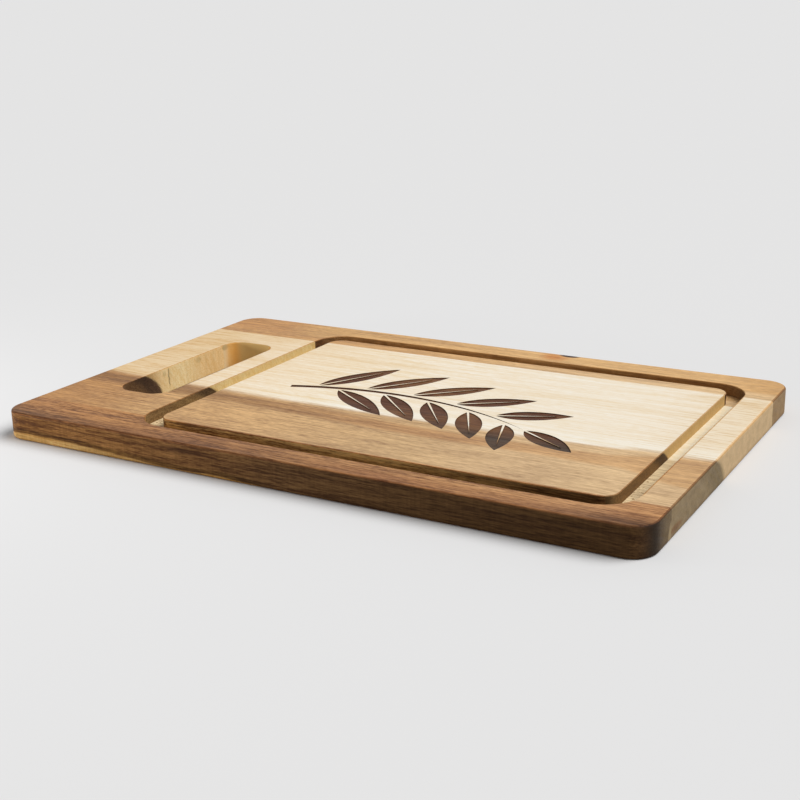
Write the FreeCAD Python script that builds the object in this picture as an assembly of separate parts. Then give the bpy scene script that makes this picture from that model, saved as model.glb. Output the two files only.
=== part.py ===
import FreeCAD, Part
import math
import os
from collections import namedtuple

from FreeCAD import Vector

# A serving and carving board with a juice groove and a finger slot.
# Three full-length hardwood staves are glued edge to edge into one panel, and the panel is then
# machined: its outline, the slot, the groove and a shallow leaf ornament.
# Millimetres, +Z up. The origin is under the middle of the board, on the face it rests on.
# The staves and their grain run along X. The slot is at the -X end. The front long side faces -Y.

# Panel
length = 380.0
width = 240.0
thickness = 16.0
corner_radius = 13.0
edge_radius = 1.5

# Staves. The middle stave takes the width that the other two leave.
front_stave_width = 28.4
back_stave_width = 39.2

# Juice groove, cut with a straight bit round a rounded rectangle.
groove_width = 10.0
groove_depth = 6.5
groove_path_radius = 14.0
groove_lip_bevel = 0.4
groove_front_margin = 17.0
groove_back_margin = 18.8
groove_plain_end_margin = 17.0
groove_slot_end_margin = 79.3

# Finger slot, right through the panel near its -X end.
slot_width = 34.0
slot_length = 118.0
slot_corner_radius = 11.0
slot_end_margin = 30.0
slot_edge_radius = 0.5

# Leaf sprig, sunk into the raised middle of the board. The stem is a long bow.
sprig_depth = 0.5
sprig_front_shift = 9.1
sprig_turn = -5.0
stem_length = 156.0
stem_rise = 18.0
stem_base_width = 4.0
stem_middle_width = 2.6
leaf_count = 10
leaf_angle = 45.0
leaf_gap = 1.4
leaf_base_length = 56.0
leaf_tip_length = 40.0
leaf_width = 14.5
leaf_rib_width = 1.3
leaf_rib_share = 0.78
leaf_first_share = 0.10
leaf_last_share = 0.92
# The inner poles of a leaf's edge curve: how far along the leaf each of them stands, and how high
# the far one stands against the near one. The edge rises to three quarters of their height.
leaf_near_pole_share = 0.25
leaf_far_pole_share = 0.65
leaf_far_pole_height = 0.85
leaf_edge_rise = 0.75

# How far a cutting tool runs past the face that it enters or leaves.
overrun = 5.0
# Largest distance at which an edge still counts as lying on an outline.
touch = 0.01

Outline = namedtuple("Outline", "x_min x_max y_min y_max radius")


def inset(outline, distance):
    """The outline that runs inside another one at an even distance."""
    return Outline(
        outline.x_min + distance,
        outline.x_max - distance,
        outline.y_min + distance,
        outline.y_max - distance,
        outline.radius - distance,
    )


panel_outline = Outline(-length / 2, length / 2, -width / 2, width / 2, corner_radius)

groove_outer = Outline(
    -length / 2 + groove_slot_end_margin,
    length / 2 - groove_plain_end_margin,
    -width / 2 + groove_front_margin,
    width / 2 - groove_back_margin,
    groove_path_radius + groove_width / 2,
)
groove_inner = inset(groove_outer, groove_width)

slot_outline = Outline(
    -length / 2 + slot_end_margin,
    -length / 2 + slot_end_margin + slot_width,
    -slot_length / 2,
    slot_length / 2,
    slot_corner_radius,
)


def rounded_block(outline, z_min, z_max):
    """A block with upright walls that follow a rounded rectangle."""
    block = Part.makeBox(
        outline.x_max - outline.x_min,
        outline.y_max - outline.y_min,
        z_max - z_min,
        Vector(outline.x_min, outline.y_min, z_min),
    )
    upright = [edge for edge in block.Edges if edge.BoundBox.ZLength > touch]
    return block.makeFillet(outline.radius, upright)


def reach_past(point, outline):
    """How far a point lies outside a rounded rectangle. It is zero on the outline."""
    centre_x = (outline.x_min + outline.x_max) / 2
    centre_y = (outline.y_min + outline.y_max) / 2
    past_x = abs(point.x - centre_x) - (outline.x_max - centre_x) + outline.radius
    past_y = abs(point.y - centre_y) - (outline.y_max - centre_y) + outline.radius
    round_part = math.hypot(max(past_x, 0.0), max(past_y, 0.0))
    straight_part = min(max(past_x, past_y), 0.0)
    return round_part + straight_part - outline.radius


def edges_along(solid, outline, height):
    """The edges of a solid that follow an outline at one height."""
    found = []
    for edge in solid.Edges:
        middle = edge.valueAt((edge.FirstParameter + edge.LastParameter) / 2)
        points = [vertex.Point for vertex in edge.Vertexes] + [middle]
        level = all(abs(point.z - height) < touch for point in points)
        if level and all(abs(reach_past(point, outline)) < touch for point in points):
            found.append(edge)
    return found


def ease(solid, radius, outline, heights):
    """Round over the edges along an outline, at each of the heights."""
    edges = []
    for height in heights:
        edges += edges_along(solid, outline, height)
    return solid.makeFillet(radius, edges)


def blank_panel():
    """The glued panel, cut to its outline and sanded over at its outside edges."""
    panel = rounded_block(panel_outline, 0.0, thickness)
    return ease(panel, edge_radius, panel_outline, [0.0, thickness])


def cut_slot(panel):
    """Finger slot, open top and bottom, with softened edges for the hand."""
    cutter = rounded_block(slot_outline, -overrun, thickness + overrun)
    return ease(panel.cut(cutter), slot_edge_radius, slot_outline, [0.0, thickness])


def cut_groove(panel):
    """Juice groove, square in section as a straight bit leaves it, with bevelled lips."""
    floor = thickness - groove_depth
    top = thickness + overrun
    ring = rounded_block(groove_outer, floor, top)
    island = rounded_block(groove_inner, floor - overrun, top + overrun)
    panel = panel.cut(ring.cut(island))
    lips = []
    for outline in (groove_outer, groove_inner):
        lips += edges_along(panel, outline, thickness)
    return panel.makeChamfer(groove_lip_bevel, lips)


def step_from(start, heading, along, across):
    """The point that lies a way along a heading, in degrees, and then to its left."""
    turn = math.radians(heading)
    x = start.x + along * math.cos(turn) - across * math.sin(turn)
    y = start.y + along * math.sin(turn) + across * math.cos(turn)
    return Vector(x, y, start.z)


def pocket(edges):
    """A cutter for a flat-bottomed pocket, raised from its closed outline."""
    face = Part.Face(Part.Wire(edges))
    return face.extrude(Vector(0.0, 0.0, sprig_depth + overrun))


def leaf_side(base, tip, heading, leaf_length, bulge):
    """One edge of a leaf: a curve that is fullest a little nearer to its base."""
    near = step_from(base, heading, leaf_length * leaf_near_pole_share, bulge)
    far_height = bulge * leaf_far_pole_height
    far = step_from(base, heading, leaf_length * leaf_far_pole_share, far_height)
    curve = Part.BezierCurve()
    curve.setPoles([base, near, far, tip])
    return curve.toShape()


def leaf_pocket(foot, heading, leaf_length):
    """A pointed leaf. A thin rib is left standing from its foot to near its tip."""
    bulge = leaf_width / 2 / leaf_edge_rise
    tip = step_from(foot, heading, leaf_length, 0.0)
    left_foot = step_from(foot, heading, 0.0, leaf_rib_width / 2)
    right_foot = step_from(foot, heading, 0.0, -leaf_rib_width / 2)
    rib_end = step_from(foot, heading, leaf_length * leaf_rib_share, 0.0)
    edges = [
        leaf_side(left_foot, tip, heading, leaf_length, bulge),
        leaf_side(right_foot, tip, heading, leaf_length, -bulge),
        Part.makeLine(right_foot, rib_end),
        Part.makeLine(rib_end, left_foot),
    ]
    return pocket(edges)


def sprig_pockets():
    """The stem and the leaves, which stand alternately on its left and right."""
    centre = Vector(
        (groove_inner.x_min + groove_inner.x_max) / 2,
        (groove_inner.y_min + groove_inner.y_max) / 2 - sprig_front_shift,
        thickness - sprig_depth,
    )
    reach = stem_length + leaf_gap + leaf_tip_length
    start = step_from(centre, sprig_turn, -reach / 2, -stem_rise / 2)
    end = step_from(start, sprig_turn, stem_length, 0.0)
    bow_radius = (stem_length ** 2 / 4 + stem_rise ** 2) / (2 * stem_rise)
    half_sweep = math.degrees(math.asin(stem_length / 2 / bow_radius))
    bow_centre = step_from(start, sprig_turn, stem_length / 2, stem_rise - bow_radius)

    def on_stem(share, off):
        """A point at a share of the stem's length, off its middle line to the left."""
        heading = sprig_turn + half_sweep * (1 - 2 * share)
        return step_from(bow_centre, heading, 0.0, bow_radius + off), heading

    left_base, _ = on_stem(0.0, stem_base_width / 2)
    right_base, _ = on_stem(0.0, -stem_base_width / 2)
    left_middle, _ = on_stem(0.5, stem_middle_width / 2)
    right_middle, _ = on_stem(0.5, -stem_middle_width / 2)
    stem_edges = [
        Part.Arc(left_base, left_middle, end).toShape(),
        Part.Arc(end, right_middle, right_base).toShape(),
        Part.makeLine(right_base, left_base),
    ]
    pockets = [pocket(stem_edges)]

    off = stem_base_width / 2 + leaf_gap
    for index in range(leaf_count):
        progress = index / (leaf_count - 1)
        share = leaf_first_share + progress * (leaf_last_share - leaf_first_share)
        leaf_length = leaf_base_length + progress * (leaf_tip_length - leaf_base_length)
        side = 1 if index % 2 == 0 else -1
        foot, heading = on_stem(share, side * off)
        pockets.append(leaf_pocket(foot, heading + side * leaf_angle, leaf_length))

    last_foot, last_heading = on_stem(1.0, 0.0)
    last_foot = step_from(last_foot, last_heading, leaf_gap, 0.0)
    pockets.append(leaf_pocket(last_foot, last_heading, leaf_tip_length))
    return pockets


def stave(panel, y_min, y_max):
    """The slice of the finished panel that one stave holds, between its glued faces."""
    slab = Part.makeBox(
        length + 2 * overrun,
        y_max - y_min,
        thickness + 2 * overrun,
        Vector(-length / 2 - overrun, y_min, -overrun),
    )
    return panel.common(slab).Solids[0]


def build():
    """Machine the panel and write each stave to its own file."""
    panel = cut_groove(cut_slot(blank_panel()))
    panel = panel.cut(sprig_pockets())

    front_joint = -width / 2 + front_stave_width
    back_joint = width / 2 - back_stave_width
    staves = {
        "front_stave": stave(panel, -width / 2 - overrun, front_joint),
        "middle_stave": stave(panel, front_joint, back_joint),
        "back_stave": stave(panel, back_joint, width / 2 + overrun),
    }

    os.makedirs("parts", exist_ok=True)
    for name, shape in staves.items():
        shape.exportStep("parts/" + name + ".step")
        print(name, "valid", shape.isValid(), "volume %.1f cm3" % (shape.Volume / 1000))


build()
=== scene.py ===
# %% [markdown]
# A wooden serving board, dressed for its picture.
#
# The real board is a panel of three long staves, glued edge to edge. A juice groove and a finger
# slot are routed into it, and a leafy sprig is burnt into its raised middle. The CAD model already
# holds every one of those forms, so nothing here changes a shape: this script finds the wood inside
# the solids. All the wood is three-dimensional. Its colour at a point depends on where that point
# lay in the tree, so the top, the end grain and the walls of the groove agree with each other.

import bpy
import math
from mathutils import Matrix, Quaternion, Vector


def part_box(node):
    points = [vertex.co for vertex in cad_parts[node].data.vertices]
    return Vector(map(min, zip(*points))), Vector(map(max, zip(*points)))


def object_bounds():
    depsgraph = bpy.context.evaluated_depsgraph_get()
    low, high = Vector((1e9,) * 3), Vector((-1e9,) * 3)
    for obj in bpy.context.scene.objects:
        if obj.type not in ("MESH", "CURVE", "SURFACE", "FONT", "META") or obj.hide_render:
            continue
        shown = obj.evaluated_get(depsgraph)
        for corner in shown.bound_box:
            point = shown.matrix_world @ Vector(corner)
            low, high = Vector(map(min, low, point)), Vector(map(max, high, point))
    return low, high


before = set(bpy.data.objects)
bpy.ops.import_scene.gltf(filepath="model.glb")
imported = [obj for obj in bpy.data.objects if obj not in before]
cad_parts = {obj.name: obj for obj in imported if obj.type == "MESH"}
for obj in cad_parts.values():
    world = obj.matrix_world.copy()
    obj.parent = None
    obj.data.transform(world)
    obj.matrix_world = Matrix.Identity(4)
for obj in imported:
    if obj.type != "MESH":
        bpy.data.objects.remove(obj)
cad_low, cad_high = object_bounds()
staves = {name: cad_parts[name] for name in ("front_stave", "middle_stave", "back_stave")}

MM = 0.001
LENGTH, WIDTH, THICKNESS = [side / MM for side in (cad_high - cad_low)]
FRONT_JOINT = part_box("front_stave")[1].y / MM
BACK_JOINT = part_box("back_stave")[0].y / MM
print("board", round(LENGTH), "x", round(WIDTH), "x", round(THICKNESS), "mm")
print("glue lines at", round(FRONT_JOINT, 1), "and", round(BACK_JOINT, 1), "mm")

# %% [markdown]
# The camera. A product picture like this one is taken from a little above the table with a short
# telephoto lens, turned to show a long side and an end. The camera could be typed in as a matrix,
# but an orbit is easier to read and to nudge: a point to aim at, a direction, a distance and a
# slight roll, because the camera wasn't quite level.

# %% Camera
AIM = Vector((-0.0368, 0.0630, -0.0094))
CAMERA_AZIMUTH = math.radians(30.02)
CAMERA_ELEVATION = math.radians(17.52)
CAMERA_ROLL = math.radians(-1.31)
CAMERA_DISTANCE = 0.8235
LENS_MM = 59.11
SENSOR_MM = 36.0


def direction(azimuth, elevation):
    """The way from the object to something that stands at an azimuth and an elevation."""
    level = math.cos(elevation)
    return Vector((math.sin(azimuth) * level, -math.cos(azimuth) * level, math.sin(elevation)))


camera_data = bpy.data.cameras.new("camera")
camera_data.lens = LENS_MM
camera_data.sensor_width = SENSOR_MM
camera = bpy.data.objects.new("camera", camera_data)
bpy.context.scene.collection.objects.link(camera)
towards_camera = direction(CAMERA_AZIMUTH, CAMERA_ELEVATION)
camera.location = AIM + towards_camera * CAMERA_DISTANCE
camera.rotation_mode = "QUATERNION"
level_view = (-towards_camera).to_track_quat("-Z", "Y")
camera.rotation_quaternion = level_view @ Quaternion((0, 0, 1), CAMERA_ROLL)
bpy.context.scene.camera = camera
print("camera at", [round(value, 3) for value in camera.location])

# %% [markdown]
# Node helpers. Shaders are built from many small nodes, and typing each one out hides the idea
# under the wiring. This class gives a node tree short verbs: calculate, smooth step, blend, ramp
# and noise. Each verb returns an output socket, so that they can be written one inside another.
# Wherever a verb takes a value, it takes a plain number or colour as well as another socket.


# %% Short verbs for node trees
def paint(red, green, blue):
    """A colour on the 0 to 255 scale of a picture, as the linear values that shaders use."""
    linear = []
    for value in (red, green, blue):
        share = value / 255
        linear.append(share / 12.92 if share <= 0.04045 else ((share + 0.055) / 1.055) ** 2.4)
    return (*linear, 1.0)


class Graph:
    """One node tree, with a short verb for each kind of node that the board needs."""

    def __init__(self, tree):
        self.tree = tree

    def feed(self, socket, value):
        """Links an output socket to an input, or sets the input to a plain value."""
        if isinstance(value, bpy.types.NodeSocket):
            self.tree.links.new(value, socket)
        else:
            socket.default_value = value

    def node(self, kind, inputs=None, **settings):
        """Adds a node, makes its settings and feeds its inputs, by name or by number."""
        made = self.tree.nodes.new(kind)
        for name, value in settings.items():
            setattr(made, name, value)
        for key, value in (inputs or {}).items():
            self.feed(made.inputs[key], value)
        return made

    def calc(self, operation, first, second=0.0):
        return self.node("ShaderNodeMath", {0: first, 1: second}, operation=operation).outputs[0]

    def times(self, *values):
        product = values[0]
        for value in values[1:]:
            product = self.calc("MULTIPLY", product, value)
        return product

    def total(self, *values):
        whole = values[0]
        for value in values[1:]:
            whole = self.calc("ADD", whole, value)
        return whole

    def less(self, first, second):
        return self.calc("SUBTRACT", first, second)

    def swing(self, noise, width):
        """Turns noise, which stays round a half, into a swing of a given width round zero."""
        return self.times(self.less(noise, 0.5), width)

    def rise(self, value, low, high, start=0.0, end=1.0):
        """A smooth step from start to end while the value goes from low to high."""
        inputs = {"Value": value, "From Min": low, "From Max": high, "To Min": start, "To Max": end}
        made = self.node("ShaderNodeMapRange", inputs, interpolation_type="SMOOTHSTEP")
        return made.outputs["Result"]

    def fall(self, value, low, high):
        """One below a low value, zero above a high one, and a smooth step between them."""
        return self.rise(value, low, high, 1.0, 0.0)

    def band(self, value, low, high, soft):
        """One inside a range of values and zero outside it, with soft ends."""
        up = self.rise(value, low - soft, low + soft)
        return self.times(up, self.fall(value, high - soft, high + soft))

    def share(self, value, low, high):
        """A straight step from zero to one while the value goes from low to high."""
        inputs = {"Value": value, "From Min": low, "From Max": high}
        return self.node("ShaderNodeMapRange", inputs).outputs["Result"]

    def blend(self, factor, first, second, mode="MIX"):
        """Mixes two colours. A mix node keeps them at inputs 6 and 7, its result at output 2."""
        inputs = {0: factor, 6: first, 7: second}
        settings = {"data_type": "RGBA", "blend_type": mode, "clamp_factor": True}
        return self.node("ShaderNodeMix", inputs, **settings).outputs[2]

    def tint(self, factor, colour, stain):
        """Multiplies a colour by a stain, as far as the factor says."""
        return self.blend(factor, colour, stain, "MULTIPLY")

    def ramp(self, value, stops):
        """Colours along a range of values. Each stop is a value and its colour."""
        low, high = stops[0][0], stops[-1][0]
        made = self.node("ShaderNodeValToRGB", {"Fac": self.share(value, low, high)})
        elements = made.color_ramp.elements
        while len(elements) < len(stops):
            elements.new(0.5)
        for element, (place, colour) in zip(elements, stops):
            element.position = (place - low) / (high - low)
            element.color = colour
        return made.outputs["Color"]

    def curve(self, value, top, points):
        """A smooth line through points. Each point is a place and a height between 0 and top."""
        low, high = points[0][0], points[-1][0]
        made = self.node("ShaderNodeFloatCurve", {"Value": self.share(value, low, high)})
        line = made.mapping.curves[0]
        while len(line.points) < len(points):
            line.points.new(0.5, 0.5)
        for point, (place, height) in zip(line.points, points):
            point.location = ((place - low) / (high - low), height / top)
        made.mapping.update()
        return self.times(made.outputs["Value"], top)

    def vector(self, operation, vector, values):
        """Works on a vector with three plain values, one for each axis."""
        inputs = {0: vector, 1: values}
        return self.node("ShaderNodeVectorMath", inputs, operation=operation).outputs[0]

    def noise(self, vector, detail=2.0, roughness=0.5):
        inputs = {"Vector": vector, "Scale": 1.0, "Detail": detail, "Roughness": roughness}
        return self.node("ShaderNodeTexNoise", inputs).outputs["Fac"]

    def lumps(self, place, size, detail=2.0, roughness=0.5):
        """Noise whose lumps have a size of their own, in millimetres, along each axis."""
        squeezed = self.vector("MULTIPLY", place, [1 / side for side in size])
        return self.noise(squeezed, detail, roughness)

    def axes(self, vector):
        return self.node("ShaderNodeSeparateXYZ", {"Vector": vector}).outputs

    def joined(self, x, y, z):
        return self.node("ShaderNodeCombineXYZ", {"X": x, "Y": y, "Z": z}).outputs[0]

    def use(self, group, inputs):
        """Places a node group and returns its outputs."""
        return self.node("ShaderNodeGroup", inputs, node_tree=group).outputs


def new_group(name, inputs, outputs):
    """A shader node group. Inputs and outputs map each name to float or vector."""
    tree = bpy.data.node_groups.new(name, "ShaderNodeTree")
    kinds = {"float": "NodeSocketFloat", "vector": "NodeSocketVector"}
    for key, kind in inputs.items():
        tree.interface.new_socket(name=key, in_out="INPUT", socket_type=kinds[kind])
    for key, kind in outputs.items():
        tree.interface.new_socket(name=key, in_out="OUTPUT", socket_type=kinds[kind])
    start = tree.nodes.new("NodeGroupInput").outputs
    end = tree.nodes.new("NodeGroupOutput").inputs
    return tree, Graph(tree), start, end


print("node verbs ready:", [name for name in vars(Graph) if not name.startswith("_")])

# %% [markdown]
# Floor and light. The board lies on a pale sweep under a broad soft light from above, behind and
# to the right, so its top is bright, its end is in half light and its long side is in soft shade.
# Area lamps fade with distance and would grey the far floor. A sun with a wide angle gives the
# same soft light everywhere, and the sky fills the shadows. Only what the camera and reflections
# see of the floor is pale: for the light that it throws back it counts as grey, as a table would.

# %% Floor, sun and sky
BACKDROP = paint(229, 229, 229)
BOUNCE = paint(120, 120, 120)
FLOOR_HALF = 60.0
SUN_AZIMUTH = math.radians(115)
SUN_ELEVATION = math.radians(52)
SUN_STRENGTH = 2.75
SUN_WIDTH = math.radians(45)
SKY = (0.303, 0.30, 0.30, 1.0)

floor_mesh = bpy.data.meshes.new("floor")
corners = [(-1, -1), (1, -1), (1, 1), (-1, 1)]
floor_mesh.from_pydata([(x * FLOOR_HALF, y * FLOOR_HALF, 0.0) for x, y in corners], [], [(0, 1, 2, 3)])
floor = bpy.data.objects.new("floor", floor_mesh)
bpy.context.scene.collection.objects.link(floor)


def seen_directly(graph):
    """One for rays from the camera, a reflection or a pane of glass, and zero for soft light."""
    rays = graph.node("ShaderNodeLightPath").outputs
    seen = graph.calc("MAXIMUM", rays["Is Camera Ray"], rays["Is Glossy Ray"])
    return graph.calc("MAXIMUM", seen, rays["Is Transmission Ray"])


floor_paint = bpy.data.materials.new("pale_floor")
floor_paint.use_nodes = True
graph = Graph(floor_paint.node_tree)
surface = floor_paint.node_tree.nodes["Principled BSDF"]
surface.inputs["Roughness"].default_value = 1.0
surface.inputs["Specular IOR Level"].default_value = 0.0
graph.feed(surface.inputs["Base Color"], graph.blend(seen_directly(graph), BOUNCE, BACKDROP))
floor_mesh.materials.append(floor_paint)

world = bpy.data.worlds.new("sky")
world.use_nodes = True
graph = Graph(world.node_tree)
background = world.node_tree.nodes["Background"]
graph.feed(background.inputs["Color"], graph.blend(seen_directly(graph), SKY, BACKDROP))
bpy.context.scene.world = world

sun_data = bpy.data.lights.new("sun", "SUN")
sun_data.energy = SUN_STRENGTH
sun_data.angle = SUN_WIDTH
sun = bpy.data.objects.new("sun", sun_data)
sun.rotation_mode = "QUATERNION"
sun.rotation_quaternion = direction(SUN_AZIMUTH, SUN_ELEVATION).to_track_quat("Z", "Y")
bpy.context.scene.collection.objects.link(sun)
bpy.context.scene.view_settings.view_transform = "Standard"
print("light on level ground:", round(SKY[1] + SUN_STRENGTH * math.sin(SUN_ELEVATION) / math.pi, 2))

# %% [markdown]
# A small strip lamp, low beside the slot end. The long side is brighter there than at its far end.
# A brighter paint alone would be wrong from every other side. An area lamp's light fades with
# distance, which the floor couldn't use but the long side can: it comes out of its shade by the slot
# and sinks back into it towards the far end. The long side's colour is also painted lighter by the
# slot and darker at the far end, painted light and shade on top of the lamp's.

# %% Low strip lamp beside the slot end
LAMP_PLACE = Vector((-0.42, -0.30, 0.06))
LAMP_AIM = Vector((-0.10, -0.12, 0.01))
LAMP_WIDTH = 0.16
LAMP_HEIGHT = 0.06
LAMP_WATTS = 0.42

lamp_data = bpy.data.lights.new("strip_lamp", "AREA")
lamp_data.shape = "RECTANGLE"
lamp_data.size = LAMP_WIDTH
lamp_data.size_y = LAMP_HEIGHT
lamp_data.energy = LAMP_WATTS
lamp = bpy.data.objects.new("strip_lamp", lamp_data)
lamp.location = LAMP_PLACE
lamp.rotation_mode = "QUATERNION"
lamp.rotation_quaternion = (LAMP_PLACE - LAMP_AIM).to_track_quat("Z", "Y")
bpy.context.scene.collection.objects.link(lamp)
print("strip lamp", round((LAMP_PLACE - LAMP_AIM).length, 2), "m from where it aims")

# %% [markdown]
# Which way a face was cut. The same stave looks different on its top, on its sawn end and inside
# the groove: end grain drinks oil and darkens, a router scorches the walls that cross the grain,
# and the groove's floor stays pale and rough. Masks could be painted by hand, but the cuts of a
# board follow simple rules, so this group works them out from the point and from the way that its
# face looks. Round the corners of the board the side turns into the end little by little.

# %% Group: cuts of the board
CORNER_RADIUS = 13.0
# Reach is CORNER_RADIUS on the outline. A face 2 mm inside that is still the outside of the board,
# and one 3 mm inside it belongs to a cut.
OUTSIDE_REACH = (CORNER_RADIUS - 3, CORNER_RADIUS - 2)
# Steepness runs from zero on a level face to one on an upright face.
UPRIGHT_STEEP = (0.3, 0.8)
EASED_FROM_STEEP = (0.03, 0.2)
EASED_TO_STEEP = (0.75, 0.97)
# How much of a face's direction points up where it starts to count as a top or a floor, and where
# it fully does.
TOP_LOOK = (0.85, 0.98)
# Cross runs from zero on a wall along the grain to one on a wall across it.
SIDE_TO_END = (0.1, 0.9)
FLOOR_DEPTH = (2.0, 3.0)
LEAST_STEEP = 0.001


def make_cuts_group():
    outputs = {
        "Millimetres": "vector", "Depth": "float", "Top": "float", "Cross": "float",
        "End": "float", "Side": "float", "Wall": "float", "Edge": "float", "Lip": "float",
        "Groove floor": "float",
    }
    tree, g, start, end = new_group("board_cuts", {"Point": "vector", "Facing": "vector"}, outputs)
    millimetres = g.vector("MULTIPLY", start["Point"], (1 / MM, 1 / MM, 1 / MM))
    x, y, z = g.axes(millimetres)
    face_x, face_y, face_z = g.axes(start["Facing"])
    across = g.times(face_x, face_x)
    steep = g.total(across, g.times(face_y, face_y))
    cross = g.calc("DIVIDE", across, g.calc("MAXIMUM", steep, LEAST_STEEP))
    upright = g.rise(steep, *UPRIGHT_STEEP)
    depth = g.less(THICKNESS, z)
    reach_x = g.calc("MAXIMUM", g.less(g.calc("ABSOLUTE", x), LENGTH / 2 - CORNER_RADIUS), 0.0)
    reach_y = g.calc("MAXIMUM", g.less(g.calc("ABSOLUTE", y), WIDTH / 2 - CORNER_RADIUS), 0.0)
    reach = g.calc("SQRT", g.total(g.times(reach_x, reach_x), g.times(reach_y, reach_y)))
    outside = g.rise(reach, *OUTSIDE_REACH)
    inside = g.less(1.0, outside)
    top = g.rise(face_z, *TOP_LOOK)
    eased = g.times(g.rise(steep, *EASED_FROM_STEEP), g.fall(steep, *EASED_TO_STEEP))
    g.feed(end["Millimetres"], millimetres)
    g.feed(end["Depth"], depth)
    g.feed(end["Top"], top)
    g.feed(end["Cross"], cross)
    g.feed(end["End"], g.times(upright, outside, g.rise(cross, *SIDE_TO_END)))
    g.feed(end["Side"], g.times(upright, outside, g.fall(cross, *SIDE_TO_END)))
    g.feed(end["Wall"], g.times(upright, inside))
    g.feed(end["Edge"], g.times(eased, outside))
    g.feed(end["Lip"], g.times(eased, inside))
    g.feed(end["Groove floor"], g.times(top, g.rise(depth, *FLOOR_DEPTH)))
    return tree


board_cuts = make_cuts_group()
print("group", board_cuts.name, "gives", [item.name for item in board_cuts.interface.items_tree])

# %% [markdown]
# The wood's figure. A tree grows in rings round its pith, and a stave is sawn out of it somewhere
# beside the pith. So the group measures how far a point lies from the pith line, after bending
# space a little because no trunk is straight. Streaks are noise that follows the rings, so they
# run tight where the saw crossed the rings and spread into long arches where it only grazed them.
# Fibres and pores are finer noise stretched along the grain. Seen on the end they turn into specks
# by themselves, which a flat picture can't do. Blotches and a tool's chatter are noise as well, so
# one table of sizes makes them all.

# %% Group: figure of the wood
SWAY_SIZE = (170, 60, 60)
RIPPLE_SIZE = (34, 12, 12)
RIPPLE_WIDTH = 0.22
BEND_THROUGH = 0.6
STREAK_LENGTH = 90
STREAK_ROUND = 20
STREAK_DETAIL = 5.0
STREAK_ROUGHNESS = 0.7
STREAK_RANGE = (0.34, 0.66)
CLOUD_SIZE = (60, 22, 22)
CLOUD_DETAIL = 3.0
# Size in millimetres along, across and through the stave, detail, roughness, and the range of the
# noise that is stretched to run from zero to one.
FINE_NOISE = {
    "Fibre": ((24, 1.4, 0.9), 4.0, 0.65, 0.36, 0.64),
    "Pore": ((5, 0.9, 0.5), 2.0, 0.6, 0.36, 0.62),
    "Mottle": ((30, 6.0, 4.5), 5.0, 0.75, 0.36, 0.64),
    "Chatter": ((1.4, 1.4, 30), 2.0, 0.7, 0.3, 0.7),
}
GRAIN_WEIGHTS = {"Streak": 0.52, "Fibre": 0.46, "Pore": 0.34}


def make_figure_group():
    inputs = {
        "Millimetres": "vector", "Pith Y": "float", "Pith Z": "float",
        "Ring width": "float", "Swirl": "float", "Contrast": "float",
    }
    outputs = {name: "float" for name in ("Streak", "Cloud", "Grain", *FINE_NOISE)}
    tree, g, start, end = new_group("wood_figure", inputs, outputs)
    place = start["Millimetres"]
    sway = g.less(g.lumps(place, SWAY_SIZE), 0.5)
    ripple = g.swing(g.lumps(place, RIPPLE_SIZE), RIPPLE_WIDTH)
    bend = g.times(start["Swirl"], g.total(sway, ripple))
    x, y, z = g.axes(place)
    from_pith_y = g.less(g.total(y, bend), start["Pith Y"])
    from_pith_z = g.less(g.total(z, g.times(bend, BEND_THROUGH)), start["Pith Z"])
    square = g.total(g.times(from_pith_y, from_pith_y), g.times(from_pith_z, from_pith_z))
    radius = g.calc("SQRT", square)
    arc = g.times(radius, g.calc("ARCTAN2", from_pith_y, from_pith_z))
    rings = g.calc("DIVIDE", radius, start["Ring width"])
    ring_place = g.joined(g.times(x, 1 / STREAK_LENGTH), rings, g.times(arc, 1 / STREAK_ROUND))
    streaks = g.noise(ring_place, STREAK_DETAIL, STREAK_ROUGHNESS)
    masks = {"Streak": g.share(streaks, *STREAK_RANGE), "Cloud": g.lumps(place, CLOUD_SIZE, CLOUD_DETAIL)}
    for name, (size, detail, roughness, low, high) in FINE_NOISE.items():
        masks[name] = g.share(g.lumps(place, size, detail, roughness), low, high)
    weighted = [g.times(masks[name], weight) for name, weight in GRAIN_WEIGHTS.items()]
    middle = sum(GRAIN_WEIGHTS.values()) / 2
    masks["Grain"] = g.total(g.times(g.total(*weighted, -middle), start["Contrast"]), 0.5)
    for name, mask in masks.items():
        g.feed(end[name], mask)
    return tree


wood_figure = make_figure_group()
print("group", wood_figure.name, "gives", [item.name for item in wood_figure.interface.items_tree])

# %% [markdown]
# A stave's wood, ready to be asked. The staves' colours all depend on the same few things: how the
# face was cut, what the figure does there and where the point lies. This class places both groups
# in a material once and keeps their outputs under short names. It also makes spots. A stain, a knot
# or a grease mark could be a painted patch, but a soft ellipsoid inside the wood shows on every
# face that it reaches.

# %% A stave's cuts, figure and spots
# Figure is stronger at the slot end than at the far end, and changes between these places.
CONTRAST_X = (-60, 110)


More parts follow.
